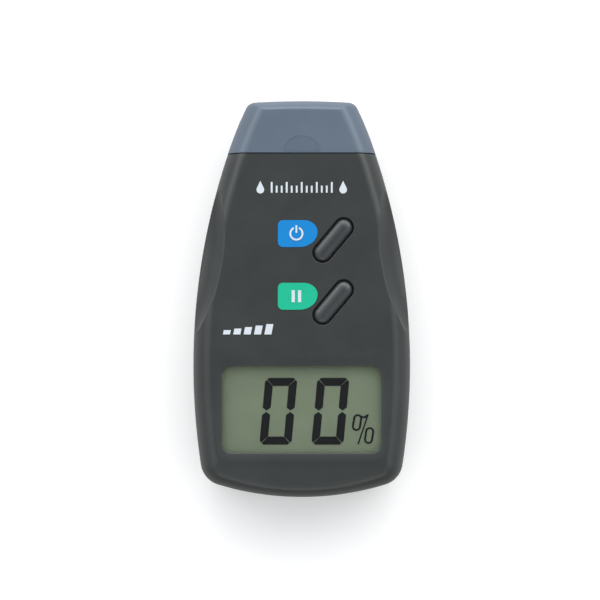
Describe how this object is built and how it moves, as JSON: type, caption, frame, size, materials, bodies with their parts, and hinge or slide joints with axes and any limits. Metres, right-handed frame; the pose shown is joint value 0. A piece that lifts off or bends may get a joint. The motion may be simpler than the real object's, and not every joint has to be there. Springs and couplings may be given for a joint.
{
  "type": "pin moisture meter",
  "caption": "Pocket pin-type moisture meter with a tapered two-part case, segment display, two slanted keys and a pull-off cap over two electrode pins.",
  "frame": {"origin": "middle of the flat back face, under the middle of the overall length and width", "axes": "+Z out of the display face, +Y along the length towards the cap and the pins, +X to the right as the display is read"},
  "size_m": [0.0658, 0.12, 0.0289],
  "materials": {
    "case_plastic": "satin dark green-grey moulded plastic",
    "cap_plastic": "smooth blue-grey moulded plastic",
    "key_plastic": "satin dark grey plastic",
    "window_clear": "clear acrylic",
    "lcd_glass": "polarised display glass",
    "lcd_segments": "near-black segments",
    "lcd_back": "grey-green reflector film",
    "black_plastic": "black moulded plastic",
    "rubber": "grey conductive rubber or black foam",
    "board": "green solder mask",
    "chip": "black moulded package",
    "ceramic": "tan ceramic with tinned ends",
    "tin": "tinned metal",
    "brass": "machined brass",
    "steel": "ground steel",
    "screw_steel": "zinc-plated steel",
    "capacitor_sleeve": "blue-black sleeve",
    "trimmer_blue": "blue moulded plastic",
    "plunger": "ivory plastic",
    "battery_can": "lacquered steel can",
    "red_wire": "red insulation",
    "black_wire": "black insulation",
    "white_wire": "white insulation",
    "tag_blue": "blue printed tag",
    "tag_green": "green printed tag",
    "white_print": "white pad print"
  },
  "bodies": {
    "housing": {"front_case": "case_plastic", "rear_case": "case_plastic", "bay_pad": "rubber", "head_block": "black_plastic", "pin_sockets": "brass", "left_pin": "steel", "right_pin": "steel", "display_window": "window_clear", "lcd_front_glass": "lcd_glass", "lcd_rear_glass": "lcd_glass", "lcd_digits": "lcd_segments", "lcd_reflector": "lcd_back", "lcd_frame": "black_plastic", "contact_strips": "rubber", "main_board": "board", "power_switch": "black_plastic", "hold_switch": "black_plastic", "controller_chip": "chip", "amplifier_chip": "chip", "chip_legs": "tin", "resistors": "chip", "ceramic_capacitors": "ceramic", "filter_capacitors": "capacitor_sleeve", "trimmer": "trimmer_blue", "trimmer_screw": "brass", "crystal": "tin", "battery_block": "battery_can", "battery_studs": "tin", "snap_connector": "black_plastic", "snap_contacts": "tin", "red_lead": "red_wire", "black_lead": "black_wire", "electrode_leads": "white_wire", "case_screws": "screw_steel", "board_screws": "screw_steel", "power_tag": "tag_blue", "hold_tag": "tag_green", "power_icon": "white_print", "hold_icon": "white_print", "title_icons": "white_print", "gauge_print": "white_print"},
    "cap": {"pin_cap": "cap_plastic"},
    "door": {"battery_door": "case_plastic"},
    "power_button": {"power_key": "key_plastic", "power_plunger": "plunger"},
    "hold_button": {"hold_key": "key_plastic", "hold_plunger": "plunger"}
  },
  "joints": [
    {"name": "power_press", "type": "slide", "parent": "housing", "child": "power_button", "axis": [0, 0, -1], "range_m": [0, 0.0004], "stiffness_N_per_m": 500, "springref_m": -0.0002},
    {"name": "hold_press", "type": "slide", "parent": "housing", "child": "hold_button", "axis": [0, 0, -1], "range_m": [0, 0.0004], "stiffness_N_per_m": 500, "springref_m": -0.0002},
    {"name": "cap_pull", "type": "slide", "parent": "housing", "child": "cap", "axis": [0, 1, 0], "range_m": [0, 0.035]},
    {"name": "door_slide", "type": "slide", "parent": "housing", "child": "door", "axis": [0, -1, 0], "range_m": [0, 0.062]}
  ]
}
